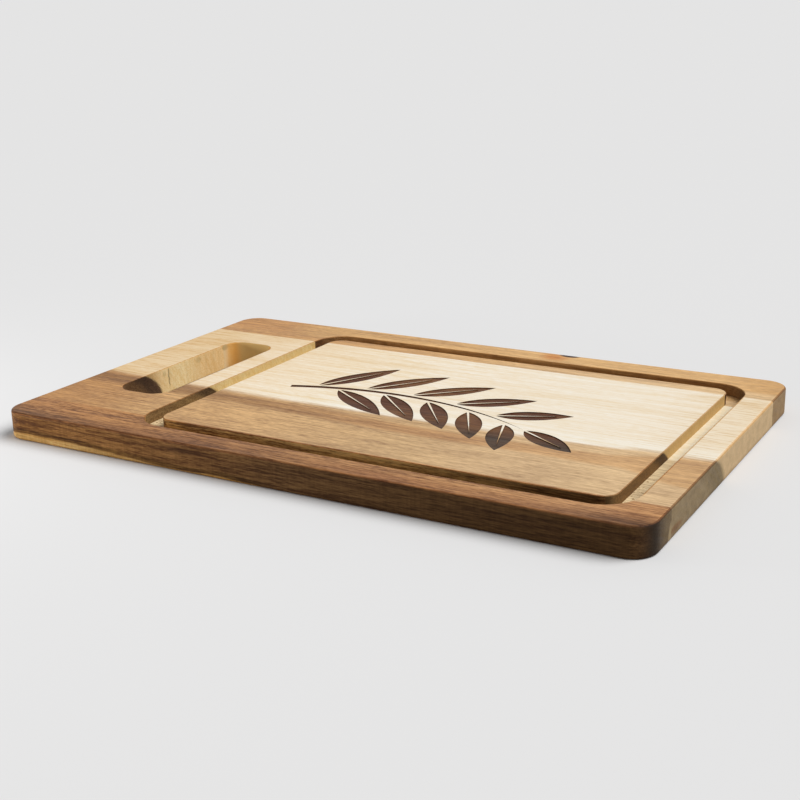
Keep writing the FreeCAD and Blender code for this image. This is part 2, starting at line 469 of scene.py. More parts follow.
class Wood:
    """What a stave's colours can be worked out from: its graph, cuts, figure and axes."""

    def __init__(self, material, pith_y, pith_z, ring_width, swirl, contrast):
        g = Graph(material.node_tree)
        coordinates = g.node("ShaderNodeTexCoord").outputs
        given = {"Point": coordinates["Object"], "Facing": coordinates["Normal"]}
        self.g = g
        self.cuts = g.use(board_cuts, given)
        self.place = self.cuts["Millimetres"]
        self.x, self.y, self.z = g.axes(self.place)
        self.cross_wall = g.times(self.cuts["Wall"], self.cuts["Cross"])
        self.long_wall = g.times(self.cuts["Wall"], g.less(1.0, self.cuts["Cross"]))
        given = {
            "Millimetres": self.place, "Pith Y": pith_y, "Pith Z": pith_z,
            "Ring width": ring_width, "Swirl": swirl,
            "Contrast": g.rise(self.x, *CONTRAST_X, *contrast),
        }
        self.figure = g.use(wood_figure, given)

    def spot(self, centre, radii, ragged, fade):
        """One at a point and zero well away from it, with a ragged outline.

        The distance is counted in radii, and the spot fades out between the two of the fade.
        """
        g = self.g
        moved = g.vector("ADD", self.place, [-value for value in centre])
        squashed = g.vector("MULTIPLY", moved, [1 / value for value in radii])
        distance = g.node("ShaderNodeVectorMath", {0: squashed}, operation="LENGTH").outputs["Value"]
        distance = g.total(distance, g.swing(self.figure["Cloud"], ragged))
        return g.fall(distance, *fade)


print("figure changes from", CONTRAST_X[0], "to", CONTRAST_X[1], "mm along the board")

# %% [markdown]
# Grain and edges. Wood doesn't get greyer where it is darker, it gets warmer. So the grain is a
# stain that the colour is multiplied by, deep brown on heartwood and honey yellow on sapwood. On the
# sawn ends it is calm, and blotches take its place. The long sides have both. Walls and sides also
# show the fine upright chatter of the tool. Oil gathers on the eased edges and on the lips of the
# cuts, which makes them darker. The foot of the ends is darkened too, as painted shade. Black could
# be mixed in for these, but it would look like dirt.

# %% Grain and darkened edges
HEART_SHADE = (0.43, 0.34, 0.30, 1.0)
HEART_SHINE = (1.50, 1.54, 1.55, 1.0)
SAP_SHADE = (0.89, 0.77, 0.55, 1.0)
SAP_SHINE = (1.06, 1.14, 1.28, 1.0)
ROUGH_SHADE = (0.82, 0.80, 0.77, 1.0)
ROUGH_SHINE = (1.16, 1.17, 1.19, 1.0)
NO_STAIN = (1.0, 1.0, 1.0, 1.0)
END_CALM = 0.7
LONG_WALL_GRAIN = 0.3
SAP_END_BLOTCHES = 0.6
WALL_CHATTER = 0.35
SIDE_CHATTER = 0.6
# Painted shade: the foot of each end is darkened below this height.
END_FOOT_PAINTED_SHADE = (0.80, 0.74, 0.68, 1.0)
END_FOOT_SHADE_HEIGHT = (0.8, 3.5)
EDGE_HEART = (0.44, 0.35, 0.27, 1.0)
EDGE_SAP = (0.86, 0.69, 0.50, 1.0)
EDGE_ALONG = (0.90, 0.80, 0.70, 1.0)
LIP_STAIN = (0.70, 0.54, 0.38, 1.0)


def grained(wood, colour, sapwood):
    """Lays the grain over clean wood, then the blotches of the ends and sides."""
    g = wood.g
    shade = g.blend(sapwood, HEART_SHADE, SAP_SHADE)
    shine = g.blend(sapwood, HEART_SHINE, SAP_SHINE)
    grain = g.blend(wood.figure["Grain"], shade, shine)
    calm = g.times(wood.cuts["End"], END_CALM)
    colour = g.tint(1.0, colour, g.blend(calm, grain, NO_STAIN))
    colour = g.tint(g.times(wood.long_wall, LONG_WALL_GRAIN), colour, grain)
    blotches = g.blend(wood.figure["Mottle"], ROUGH_SHADE, ROUGH_SHINE)
    on_end = g.times(wood.cuts["End"], g.rise(sapwood, 0.0, 1.0, 1.0, SAP_END_BLOTCHES))
    colour = g.tint(on_end, colour, blotches)
    return g.tint(wood.cuts["Side"], colour, blotches)


def edged(wood, colour, sapwood):
    """Paints shade at the foot of the ends, darkens the eased edges and the lips, and adds the tool's
    chatter.
    """
    g = wood.g
    # Painted shade along the foot of the ends.
    foot = g.times(wood.cuts["End"], g.fall(wood.z, *END_FOOT_SHADE_HEIGHT))
    colour = g.tint(foot, colour, END_FOOT_PAINTED_SHADE)
    on_wall = g.times(wood.cuts["Wall"], WALL_CHATTER)
    on_side = g.times(wood.cuts["Side"], SIDE_CHATTER)
    chatter = g.blend(wood.figure["Chatter"], ROUGH_SHADE, ROUGH_SHINE)
    colour = g.tint(g.total(on_wall, on_side), colour, chatter)
    edge_across = g.blend(sapwood, EDGE_HEART, EDGE_SAP)
    edge_stain = g.blend(wood.cuts["Cross"], EDGE_ALONG, edge_across)
    colour = g.tint(wood.cuts["Edge"], colour, edge_stain)
    return g.tint(wood.cuts["Lip"], colour, LIP_STAIN)


print("foot of the ends darkens below", END_FOOT_SHADE_HEIGHT[1], "mm")

# %% [markdown]
# A stave's material. Every stave goes through the same steps: pick the colour of clean wood, lay
# the grain over it, darken the edges, and add the marks that only this stave has. Three materials
# could be wired one by one, but one function with two parts left open keeps them alike. The shader
# itself stays plain: wood is never metal, and an oiled board has one broad soft gloss.

# %% Material of a stave
GLOSS_LEVEL = 0.12
GLOSS_ROUGHNESS = (0.5, 0.64)
FIBRE_RELIEF = 0.6
PORE_RELIEF = 0.4
RELIEF_STRENGTH = 0.3
RELIEF_METRES = 0.0002


def stave_material(name, clean_wood, marks, **growth):
    """One stave's wood. The two functions give its clean colour and add its own marks."""
    material = bpy.data.materials.new(name)
    material.use_nodes = True
    wood = Wood(material, **growth)
    g = wood.g
    colour, sapwood = clean_wood(wood)
    colour = grained(wood, colour, sapwood)
    colour = edged(wood, colour, sapwood)
    colour = marks(wood, colour)
    fibres = g.times(wood.figure["Fibre"], FIBRE_RELIEF)
    relief = g.total(fibres, g.times(wood.figure["Pore"], PORE_RELIEF))
    inputs = {"Strength": RELIEF_STRENGTH, "Distance": RELIEF_METRES, "Height": relief}
    bump = g.node("ShaderNodeBump", inputs)
    surface = material.node_tree.nodes["Principled BSDF"]
    surface.inputs["Specular IOR Level"].default_value = GLOSS_LEVEL
    g.feed(surface.inputs["Base Color"], colour)
    g.feed(surface.inputs["Roughness"], g.rise(wood.figure["Streak"], 0.0, 1.0, *GLOSS_ROUGHNESS))
    g.feed(surface.inputs["Normal"], bump.outputs["Normal"])
    return material


print("every stave shares", board_cuts.name, "and", wood_figure.name)

# %% [markdown]
# The middle stave holds the most to see. Its front part is brown heartwood, its back part cream
# sapwood. On the top the line between them wanders along the board, and on the ends and in the slot
# it curves down and back, as a growth ring does. A ring's radius could place it, but no simple ring
# wanders like that, so a curve gives the line's place along the board and a power gives its dip.
# Sanded wood shows it soft, and the router's fresh walls show it sharp.

# %% Middle stave: line between heartwood and sapwood
HEART_LINE_LOW = -36.0
HEART_LINE_SPAN = 14.0
HEART_LINE = [
    (-190, 5.4), (-176, 4.7), (-122, 1.9), (-85, 1.9), (-55, 1.7), (0, 2.2), (55, 3.5),
    (95, 4.2), (110, 5.1), (125, 6.1), (140, 7.2), (158, 10.2), (176, 9.9), (190, 10.8),
]
HEART_UNDERCUT = 15.0
UNDERCUT_POWER = 2.2
HEART_LINE_RAGGED = 1.6
SOFT_WHEN_SANDED = 3.4
SOFT_WHEN_ROUTED = 1.2


def past_heart_line(wood):
    """How many millimetres a point lies behind the heartwood."""
    g = wood.g
    line = g.total(g.curve(wood.x, HEART_LINE_SPAN, HEART_LINE), HEART_LINE_LOW)
    level = g.calc("POWER", g.calc("DIVIDE", wood.z, THICKNESS), UNDERCUT_POWER)
    line = g.total(line, g.times(g.less(1.0, level), HEART_UNDERCUT))
    ragged = g.swing(wood.figure["Streak"], HEART_LINE_RAGGED)
    return g.total(g.less(wood.y, line), ragged)


def sap_mask(wood, past_heart):
    """One on sapwood and zero on heartwood."""
    g = wood.g
    soft = g.rise(wood.cuts["Wall"], 0.0, 1.0, SOFT_WHEN_SANDED, SOFT_WHEN_ROUTED)
    return g.rise(past_heart, g.times(soft, -1.0), soft)


line_heights = [HEART_LINE_LOW + height for _, height in HEART_LINE]
print("heartwood ends between", round(min(line_heights), 1), "and", round(max(line_heights), 1), "mm")

# %% [markdown]
# Heartwood of the middle stave. Just inside the line runs a darker band, which moves away from the
# line and widens towards the far end. Two curves give the band's middle and its half width, and
# colour ramps give the clear wood and the band each its own change of colour along the grain. One
# ramp and a darker copy would be shorter, but the band fades out far more than the clear wood does.

# %% Middle stave: heartwood
BAND_SPAN = 30.0
BAND_MIDDLE = [(-190, 11), (-60, 11), (55, 17.5), (100, 17), (144, 19), (172, 20), (190, 22)]
BAND_HALF = [(-190, 6.5), (-60, 6.5), (55, 6.5), (100, 6), (144, 8), (172, 17), (190, 20)]
BAND_SOFT = 3.0
HEART_CLEAR = [
    (-190, paint(176, 131, 84)), (-150, paint(184, 140, 92)), (-118, paint(196, 156, 108)),
    (-60, paint(195, 157, 111)), (40, paint(197, 164, 121)), (100, paint(209, 177, 135)),
    (145, paint(215, 184, 141)), (190, paint(209, 178, 137)),
]
HEART_BAND = [
    (-190, paint(142, 103, 66)), (-150, paint(148, 110, 72)), (-118, paint(156, 119, 80)),
    (-60, paint(160, 122, 82)), (0, paint(174, 134, 92)), (55, paint(186, 144, 100)),
    (145, paint(205, 165, 118)), (190, paint(198, 159, 113)),
]


def heartwood(wood, past_heart):
    g = wood.g
    from_band = g.total(past_heart, g.curve(wood.x, BAND_SPAN, BAND_MIDDLE))
    inside_band = g.less(g.curve(wood.x, BAND_SPAN, BAND_HALF), g.calc("ABSOLUTE", from_band))
    in_band = g.rise(inside_band, -BAND_SOFT, BAND_SOFT)
    return g.blend(in_band, g.ramp(wood.x, HEART_CLEAR), g.ramp(wood.x, HEART_BAND))


print("heartwood ramps have", len(HEART_CLEAR), "and", len(HEART_BAND), "stops")

# %% [markdown]
# Sapwood of the middle stave. It is cream, palest beside the heartwood in the far half, with a few
# long tan streaks. Towards both ends of the board short dark flecks lie in it, where the fibres are
# darkest. The streaks could come from one more noise, but then they would lie anywhere. A short
# list puts each one where it belongs, and a little noise makes it wander.

# %% Middle stave: sapwood
SAP_CLEAR = [
    (-190, paint(225, 196, 153)), (-165, paint(229, 203, 163)), (-118, paint(238, 218, 188)),
    (-60, paint(241, 224, 196)), (0, paint(243, 230, 208)), (100, paint(243, 232, 213)),
    (144, paint(243, 231, 211)), (190, paint(238, 221, 193)),
]
SAP_BESIDE_HEART = paint(246, 240, 226)
BESIDE_HEART_AWAY = (3, 22)
BESIDE_HEART_X = (-120, 20)
BESIDE_HEART_MOST = 0.7
SAP_TAN = (0.93, 0.86, 0.74, 1.0)
# Each streak's first and last X, its Y, half its width and its strength.
TAN_STREAKS = [
    (-190, -10, 56, 5, 0.7), (50, 170, 36, 4, 0.5), (-190, -110, 26, 6, 0.6),
    (-190, -150, 46, 6, 0.8), (-190, -90, 72, 6, 0.5), (150, 200, 70, 8, 0.6),
]
TAN_STREAK_SOFT = 20
TAN_STREAK_WANDER = 14
SAP_FLECK = (0.82, 0.70, 0.54, 1.0)
FLECK_FIBRE = (0.05, 0.45)
FLECK_FAR_X = (130, 172)
FLECK_SLOT_X = (-165, -120)
FLECK_MOST = 0.6


def cream_sapwood(wood, past_heart):
    g = wood.g
    along = g.rise(wood.x, *BESIDE_HEART_X, 0.0, BESIDE_HEART_MOST)
    beside = g.times(g.fall(past_heart, *BESIDE_HEART_AWAY), along)
    colour = g.blend(beside, g.ramp(wood.x, SAP_CLEAR), SAP_BESIDE_HEART)
    wandering_y = g.total(wood.y, g.swing(wood.figure["Cloud"], TAN_STREAK_WANDER))
    for x_low, x_high, y, half, strength in TAN_STREAKS:
        along = g.band(wood.x, x_low, x_high, TAN_STREAK_SOFT)
        across = g.band(wandering_y, y - half, y + half, half)
        colour = g.tint(g.times(along, across, strength), colour, SAP_TAN)
    at_ends = g.total(g.rise(wood.x, *FLECK_FAR_X), g.fall(wood.x, *FLECK_SLOT_X))
    flecks = g.times(g.fall(wood.figure["Fibre"], *FLECK_FIBRE), at_ends, FLECK_MOST)
    return g.tint(flecks, colour, SAP_FLECK)


print("sapwood has", len(TAN_STREAKS), "tan streaks")

# %% [markdown]
# The groove as the router left it. A spinning bit scorches the wood where it turns and where it
# slows down: the bevelled lip at the far end is singed and a fine burnt line runs along the rim
# beside it. The walls are painted darker towards the far end. On the walls along the grain that is
# painted shade, from almost none by the slot end to deep shade at the far end. The floor was never
# sanded or oiled as well as the top, so it stays pale and raw, with dark specks in its heartwood.
# One ramp for all the walls would be simpler, but those along the grain are painted far darker at
# that end. So there are two ramps, and the mask Cross blends them on the round corners.

# %% Middle stave: groove
GROOVE_FROM_X = (-123, -121)
TURNED_CROSS = (0.2, 0.98)
GROOVE_CROSS_WALL_DARKENING = [(-110, (0.80, 0.88, 0.86, 1.0)), (170, (0.64, 0.62, 0.52, 1.0))]
# Painted shade on the groove's walls along the grain, deepest at the far end.
LONG_WALL_PAINTED_SHADE = [(-110, (0.95, 0.94, 0.71, 1.0)), (140, (0.15, 0.13, 0.09, 1.0))]
SCORCHED_LIP_X = (169.0, 171.0)
SCORCHED_LIP = (0.60, 0.46, 0.34, 1.0)
RIM_LINE_X = (173.4, 173.9)
RIM_LINE_Y = (-83, 81)
RIM_LINE_SOFT = 0.2
RIM_LINE_END_SOFT = 3.0
RIM_LINE = (0.72, 0.50, 0.27, 1.0)
FLOOR_HEART = paint(228, 206, 164)
FLOOR_SAP = paint(240, 230, 204)
FLOOR_RAW = 0.88
FLOOR_SPECK = (0.50, 0.40, 0.30, 1.0)
SPECK_CHATTER = (0.68, 0.95)
SPECK_BEFORE_Y = (-48, -38)


def groove_shaded_and_scorched(wood, colour, sap):
    """Darkens the groove's walls, as painted shade on those along the grain, scorches its lip and rim,
    and lays its raw floor.
    """
    g = wood.g
    wall = g.times(wood.cuts["Wall"], g.rise(wood.x, *GROOVE_FROM_X))
    turned = g.rise(wood.cuts["Cross"], *TURNED_CROSS)
    # The walls' darkening towards the far end, painted shade on the walls along the grain.
    stain = g.blend(turned, g.ramp(wood.x, LONG_WALL_PAINTED_SHADE), g.ramp(wood.x, GROOVE_CROSS_WALL_DARKENING))
    colour = g.tint(wall, colour, stain)
    scorched = g.times(wood.cuts["Lip"], g.rise(wood.x, *SCORCHED_LIP_X))
    colour = g.tint(scorched, colour, SCORCHED_LIP)
    rim_x = g.band(wood.x, *RIM_LINE_X, RIM_LINE_SOFT)
    rim_y = g.band(wood.y, *RIM_LINE_Y, RIM_LINE_END_SOFT)
    colour = g.tint(g.times(rim_x, rim_y, wood.cuts["Top"]), colour, RIM_LINE)
    raw = g.times(wood.cuts["Groove floor"], FLOOR_RAW)
    colour = g.blend(raw, colour, g.blend(sap, FLOOR_HEART, FLOOR_SAP))
    specks = g.times(g.rise(wood.figure["Chatter"], *SPECK_CHATTER), g.fall(wood.y, *SPECK_BEFORE_Y))
    return g.tint(g.times(specks, wood.cuts["Groove floor"]), colour, FLOOR_SPECK)


print("groove's scorched lip starts at", SCORCHED_LIP_X[0], "mm along the board")

# %% [markdown]
# Ends and cross walls of the middle stave. End grain has drunk more oil than the top, so it has
# colours of its own: the band goes on as a broad dark zone, and one reddish streak lies by the glue
# line at the far end. The walls across the grain, in the slot and in the groove, show the same
# heartwood, band and sapwood once more in a router's browner shades. A darker version of the top's
# colours would be quicker, but cut fibres also turn yellower, which these chosen colours follow.

# %% Middle stave: ends, cross walls and the whole
END_HEART = paint(146, 126, 94)
END_BAND = paint(128, 110, 79)
END_BAND_FROM = (-34, -12)
END_SAP = paint(210, 180, 137)
END_STREAK = dict(centre=(190.0, -83.0, 4.0), radii=(8.0, 10.0, 2.2), ragged=2.0, fade=(0.3, 1.1))
END_STREAK_STAIN = (0.78, 0.60, 0.50, 1.0)
WALL_HEART = paint(142, 107, 69)
WALL_BAND = paint(94, 69, 47)
WALL_BAND_FROM = (-18, -8)
WALL_SAP = paint(238, 200, 142)


def middle_wood(wood):
    """The middle stave's clean colour, and where it is sapwood."""
    g = wood.g
    past_heart = past_heart_line(wood)
    sap = sap_mask(wood, past_heart)
    colour = g.blend(sap, heartwood(wood, past_heart), cream_sapwood(wood, past_heart))
    end_heart = g.blend(g.rise(past_heart, *END_BAND_FROM), END_HEART, END_BAND)
    end_heart = g.tint(wood.spot(**END_STREAK), end_heart, END_STREAK_STAIN)
    colour = g.blend(wood.cuts["End"], colour, g.blend(sap, end_heart, END_SAP))
    wall_heart = g.blend(g.rise(past_heart, *WALL_BAND_FROM), WALL_HEART, WALL_BAND)
    colour = g.blend(wood.cross_wall, colour, g.blend(sap, wall_heart, WALL_SAP))
    return groove_shaded_and_scorched(wood, colour, sap), sap


print("reddish streak on the end at", END_STREAK["centre"], "mm")

# %% [markdown]
# The burnt sprig. A laser takes off half a millimetre and leaves brown char behind. The pockets are
# real recesses in the solid, so the char needs no drawing of its own: whatever lies just below the
# top, inside the middle of the board, is burnt. The char is darkest on the brown wood, redder on the
# pale wood and thin in places, where the grain shows through.

# %% Char in the sunk leaves
CHAR_FROM_DEPTH = (0.05, 0.1)
CHAR_TO_DEPTH = (0.8, 1.0)
CHAR_DARK = paint(66, 53, 43)
CHAR_RED = paint(86, 53, 35)
CHAR_RED_FROM_Y = (-44, -24)
CHAR_THIN = paint(132, 94, 60)
CHAR_THIN_CLOUD = (0.5, 0.68)
CHAR_THIN_MOST = 0.5
CHAR_GRAIN = 0.6
SPRIG_X = (-95.0, 150.0)
SPRIG_Y = (-80.0, 78.0)
SPRIG_SOFT = 0.5


def burnt(wood, colour):
    g = wood.g
    depth = wood.cuts["Depth"]
    inside = g.times(
        g.band(wood.x, *SPRIG_X, SPRIG_SOFT), g.band(wood.y, *SPRIG_Y, SPRIG_SOFT),
        g.rise(depth, *CHAR_FROM_DEPTH), g.fall(depth, *CHAR_TO_DEPTH),
    )
    char = g.blend(g.rise(wood.y, *CHAR_RED_FROM_Y), CHAR_DARK, CHAR_RED)
    thin = g.times(g.rise(wood.figure["Cloud"], *CHAR_THIN_CLOUD), CHAR_THIN_MOST)
    char = g.blend(thin, char, CHAR_THIN)
    char = g.tint(CHAR_GRAIN, char, g.blend(wood.figure["Fibre"], HEART_SHADE, HEART_SHINE))
    return g.blend(inside, colour, char)


print("char lies from", CHAR_FROM_DEPTH[1], "to", CHAR_TO_DEPTH[0], "mm below the top")

# %% [markdown]
# The slot's wall by the board's end tells how it was made. It is dark where it is heartwood, and
# palest where the sapwood starts. A drying crack runs up through the pale wood with a little dirt
# round it, greasy hands have left soft grey spots under the rim, and where the router turned round
# the far end it has scorched the wall orange. That far end is painted paler and brighter than the
# wood, painted light where it faces away from the sun. A picture of the wall could hold all of
# that, but it would have to be wrapped round the corners. Here each mark is a soft shape in the
# wood, and a mask lets it through on the slot's own walls only.

# %% Marks in the finger slot
SLOT_X = (-165.0, -121.0)
SLOT_SOFT = 1.0
SLOT_DARK = (0.52, 0.50, 0.50, 1.0)
SLOT_DARK_BEFORE_Y = (-34, -14)
END_WALL_BEFORE_X = (-158, -150)
PALE_START = (1.07, 1.20, 1.34, 1.0)
PALE_START_Y = (-14, 16)
PALE_START_SOFT = 14
PALE_START_FROM_Y = (-26, -18)
PALE_BAND = paint(232, 210, 170)
PALE_BAND_Y = (46.4, 50.5)
PALE_BAND_SOFT = 1.0
PALE_BAND_MOST = 0.6
GREASE = (0.62, 0.62, 0.54, 1.0)
GREASE_RAGGED = 1.5
GREASE_FADE = (0.5, 1.2)
# Each spot's centre, its radii and its strength.
GREASE_SPOTS = [
    ((-160, -14, 12.5), (6, 1.6, 2.0), 0.45), ((-160, 20, 13), (6, 3.2, 2.2), 0.45),
    ((-160, 48, 14.5), (6, 3.4, 2.4), 0.85), ((-160, -9, 10), (6, 3.0, 5.0), 0.3),
]
CRACK_Y = -9.9
CRACK_HALF = 0.35
CRACK_Z = (4, 15)
CRACK_END_SOFT = 1.5
CRACK_BEND = 3.0
CRACK_WIGGLE = 3.0
CRACK_MOST = 0.6
CRACK_DARK = paint(96, 66, 40)
SCORCH_FROM_Y = (50, 60)
SCORCH_WANDER = 8
SCORCH_CROSS = (0.05, 0.6)
# The scorch and the far end are painted paler and brighter than the wood, painted light where the far end
# faces away from the sun.
SCORCH_WITH_PAINTED_LIGHT = paint(255, 190, 100)
FAR_END_WITH_PAINTED_LIGHT = paint(255, 216, 142)


def cracked(wood, on_end_wall, colour):
    """A fine dark crack that wiggles upwards, the same at every depth into the wall."""
    g = wood.g
    upwards_only = g.vector("MULTIPLY", wood.place, (0, 0, 1 / CRACK_BEND))
    wiggle = g.swing(g.noise(upwards_only), CRACK_WIGGLE)
    from_crack = g.calc("ABSOLUTE", g.total(wood.y, wiggle, -CRACK_Y))
    thin = g.fall(from_crack, CRACK_HALF * 0.5, CRACK_HALF * 2)
    crack = g.times(thin, g.band(wood.z, *CRACK_Z, CRACK_END_SOFT))
    return g.blend(g.times(on_end_wall, crack, CRACK_MOST), colour, CRACK_DARK)


def slot_marks(wood, colour):
    """Everything that only the slot's walls show."""
    g = wood.g
    slot = g.times(wood.cuts["Wall"], g.band(wood.x, *SLOT_X, SLOT_SOFT))
    colour = g.tint(g.times(slot, g.fall(wood.y, *SLOT_DARK_BEFORE_Y)), colour, SLOT_DARK)
    on_end_wall = g.times(slot, g.fall(wood.x, *END_WALL_BEFORE_X))
    start_y = g.times(g.band(wood.y, *PALE_START_Y, PALE_START_SOFT), g.rise(wood.y, *PALE_START_FROM_Y))
    colour = g.tint(g.times(on_end_wall, start_y), colour, PALE_START)
    pale = g.times(on_end_wall, g.band(wood.y, *PALE_BAND_Y, PALE_BAND_SOFT), PALE_BAND_MOST)
    colour = g.blend(pale, colour, PALE_BAND)
    for centre, radii, strength in GREASE_SPOTS:
        spot = wood.spot(centre, radii, GREASE_RAGGED, GREASE_FADE)
        colour = g.tint(g.times(on_end_wall, spot, strength), colour, GREASE)
    colour = cracked(wood, on_end_wall, colour)
    # Scorched far end, with painted light on it.
    wandering_y = g.total(wood.y, g.times(wood.figure["Cloud"], SCORCH_WANDER))
    turned = g.times(slot, g.rise(wandering_y, *SCORCH_FROM_Y))
    return g.blend(turned, colour, g.blend(g.rise(wood.cuts["Cross"], *SCORCH_CROSS), FAR_END_WITH_PAINTED_LIGHT, SCORCH_WITH_PAINTED_LIGHT))


print("slot wall has", len(GREASE_SPOTS), "grease spots and a crack at", CRACK_Y, "mm")

# %% [markdown]
# The middle stave's material puts those parts together: its clean wood, then the slot's marks, then
# the char over everything. Its pith lies deep below its front edge. The saw only grazed the rings
# there and crossed them more steeply towards the back, so the streaks are broad in front and narrow
# behind. Drawing them would need a rule for that, and with the pith in place it comes by itself.


# %% Middle stave: material
def middle_marks(wood, colour):
    return burnt(wood, slot_marks(wood, colour))


middle_material = stave_material(
    "middle_stave_wood", middle_wood, middle_marks,
    pith_y=-80.0, pith_z=-58.0, ring_width=2.4, swirl=5.0, contrast=(0.92, 0.60),
)
print("middle stave:", len(middle_material.node_tree.nodes), "nodes")

# %% [markdown]
# The back stave is golden heartwood with a plain figure, paler beside the glue line towards the far
# end. A small branch once left the tree at its back edge: a dark knot with an orange halo. The knot
# is a squashed ball of dark wood, so it shows on the top and on the back edge alike, where a painted
# one would have to be drawn twice and made to meet.

# %% Back stave and its knot
BACK_CLEAR = [
    (-190, paint(192, 144, 94)), (-150, paint(194, 147, 97)), (-118, paint(203, 162, 110)),
    (-60, paint(207, 165, 112)), (0, paint(211, 170, 117)), (100, paint(217, 177, 123)),
    (150, paint(216, 175, 121)), (190, paint(206, 163, 109)),
]
BACK_BESIDE_GLUE = [
    (-190, paint(186, 142, 95)), (-60, paint(196, 153, 105)), (20, paint(209, 170, 121)),
    (100, paint(218, 186, 144)), (190, paint(214, 182, 138)),
]
BESIDE_GLUE_Y = (BACK_JOINT + 7, BACK_JOINT + 14)
BESIDE_GLUE_MOST = 0.9
BACK_END = paint(155, 126, 88)
# Painted shade: the back stave's walls in the groove are painted dark brown, and darker towards the far
# end.
BACK_WALL_PAINTED_SHADE = paint(82, 55, 31)
BACK_LONG_WALL_PAINTED_SHADE = [
    (-110, (0.64, 0.62, 0.58, 1.0)), (40, (0.64, 0.62, 0.56, 1.0)), (150, (0.42, 0.36, 0.30, 1.0)),
]
BACK_SAP = 0.1
KNOT = dict(centre=(54.0, 118.0, 15.5), radii=(9.0, 4.2, 7.0), ragged=0.8, fade=(0.55, 1.0))
KNOT_DARK = paint(66, 50, 46)
HALO = dict(centre=(46.0, 112.5, 15.0), radii=(13.0, 11.0, 9.0), ragged=1.2, fade=(0.3, 1.1))
HALO_STAIN = (0.80, 0.56, 0.42, 1.0)


def back_wood(wood):
    """The back stave's colour, with painted shade on its walls. Its grain is stained a little as
    sapwood's is.
    """
    g = wood.g
    beside = g.times(g.fall(wood.y, *BESIDE_GLUE_Y), BESIDE_GLUE_MOST)
    colour = g.blend(beside, g.ramp(wood.x, BACK_CLEAR), g.ramp(wood.x, BACK_BESIDE_GLUE))
    colour = g.blend(wood.cuts["End"], colour, BACK_END)
    # Painted shade on the back stave's walls in the groove.
    colour = g.blend(wood.cross_wall, colour, BACK_WALL_PAINTED_SHADE)
    return g.tint(wood.long_wall, colour, g.ramp(wood.x, BACK_LONG_WALL_PAINTED_SHADE)), BACK_SAP


def knot(wood, colour):
    g = wood.g
    colour = g.tint(wood.spot(**HALO), colour, HALO_STAIN)
    return g.blend(wood.spot(**KNOT), colour, KNOT_DARK)


back_material = stave_material(
    "back_stave_wood", back_wood, knot,
    pith_y=60.0, pith_z=-70.0, ring_width=2.6, swirl=5.0, contrast=(0.8, 0.6),
)
print("back stave:", len(back_material.node_tree.nodes), "nodes")

# %% [markdown]
# The front stave's strip of sapwood. The stave was sawn beside the bark, so a little pale sapwood is
# left along its lower edge by the slot end, and it thins out inwards. Where sapwood meets heartwood
# the wood is darkest, so a greenish brown line runs along the strip. A curve along the board gives
# the strip's height, where a straight edge would look like tape.

# %% Front stave: strip of sapwood
STRIP_SPAN = 8.0
STRIP_HEIGHT = [
    (-190, 4.1), (-170, 4.5), (-150, 4.4), (-130, 3.8), (-115, 3.2), (-95, 2.3), (-84, 1.7),
    (-74, 1.1), (-64, 1.0), (-52, 1.3), (-42, 1.8), (-32, 1.5), (-12, 0.7), (5, 0.0), (190, 0.0),
]
STRIP_SLOPE = 0.35
STRIP_RAGGED = 0.8
STRIP_EDGE = (-0.4, 0.3)
STRIP_LEAST_HEIGHT = (0.1, 0.5)
STRIP_SAP = 0.8
PALE_STRIP = paint(247, 194, 118)
STRIP_LINE = (0.60, 0.61, 0.51, 1.0)
STRIP_LINE_ABOVE = (0.0, 2.4)
STRIP_LINE_SOFT = 0.8
STRIP_LINE_LEAST_HEIGHT = (0.2, 1.2)


def with_strip(wood, colour):
    """Adds the pale strip and its line, and tells where the wood counts as sapwood."""
    g = wood.g
    inwards = g.times(g.total(wood.y, WIDTH / 2), STRIP_SLOPE)
    height = g.less(g.curve(wood.x, STRIP_SPAN, STRIP_HEIGHT), inwards)
    above = g.total(g.less(wood.z, height), g.swing(wood.figure["Fibre"], STRIP_RAGGED))
    in_line = g.band(above, *STRIP_LINE_ABOVE, STRIP_LINE_SOFT)
    line = g.times(in_line, g.rise(height, *STRIP_LINE_LEAST_HEIGHT))
    colour = g.tint(line, colour, STRIP_LINE)
    strip = g.times(g.fall(above, *STRIP_EDGE), g.rise(height, *STRIP_LEAST_HEIGHT))
    return g.blend(strip, colour, PALE_STRIP), g.times(strip, STRIP_SAP)


print("pale strip is up to", max(height for _, height in STRIP_HEIGHT), "mm high")

# %% [markdown]
# The front stave is the darkest: reddish brown heartwood. Its long side is painted lighter by the
# slot end and almost walnut towards the far end, painted light and shade on top of the strip lamp's.
# The bark was near at the far end, and left a pale wedge beside the glue line. The stave's colour
# changes from its top to its side, which one ramp would lose. So the top has two ramps, one of them
# for the wood nearest the side, and the side has a third. Its end is painted almost black towards
# the near corner, painted shade where the corner turns from the light. The walls of its groove are
# painted lighter by the slot end and darker towards the far end, painted light and shade. Its
# figure is the strongest of the three staves.

# %% Front stave: colours, marks and material
FRONT_CLEAR = [
    (-190, paint(154, 110, 71)), (-118, paint(160, 115, 73)), (-60, paint(150, 107, 70)),
    (0, paint(151, 110, 74)), (55, paint(166, 122, 81)), (100, paint(170, 127, 86)),
    (150, paint(178, 133, 91)), (190, paint(168, 123, 82)),
]
FRONT_BY_SIDE = [
    (-190, paint(122, 88, 60)), (-118, paint(132, 92, 59)), (-60, paint(132, 92, 60)),
    (0, paint(142, 102, 67)), (55, paint(142, 99, 66)), (100, paint(158, 113, 74)),
    (145, paint(142, 101, 68)), (190, paint(108, 77, 50)),
]
BY_SIDE_Y = (-119, -109)
BY_SIDE_WANDER = -5
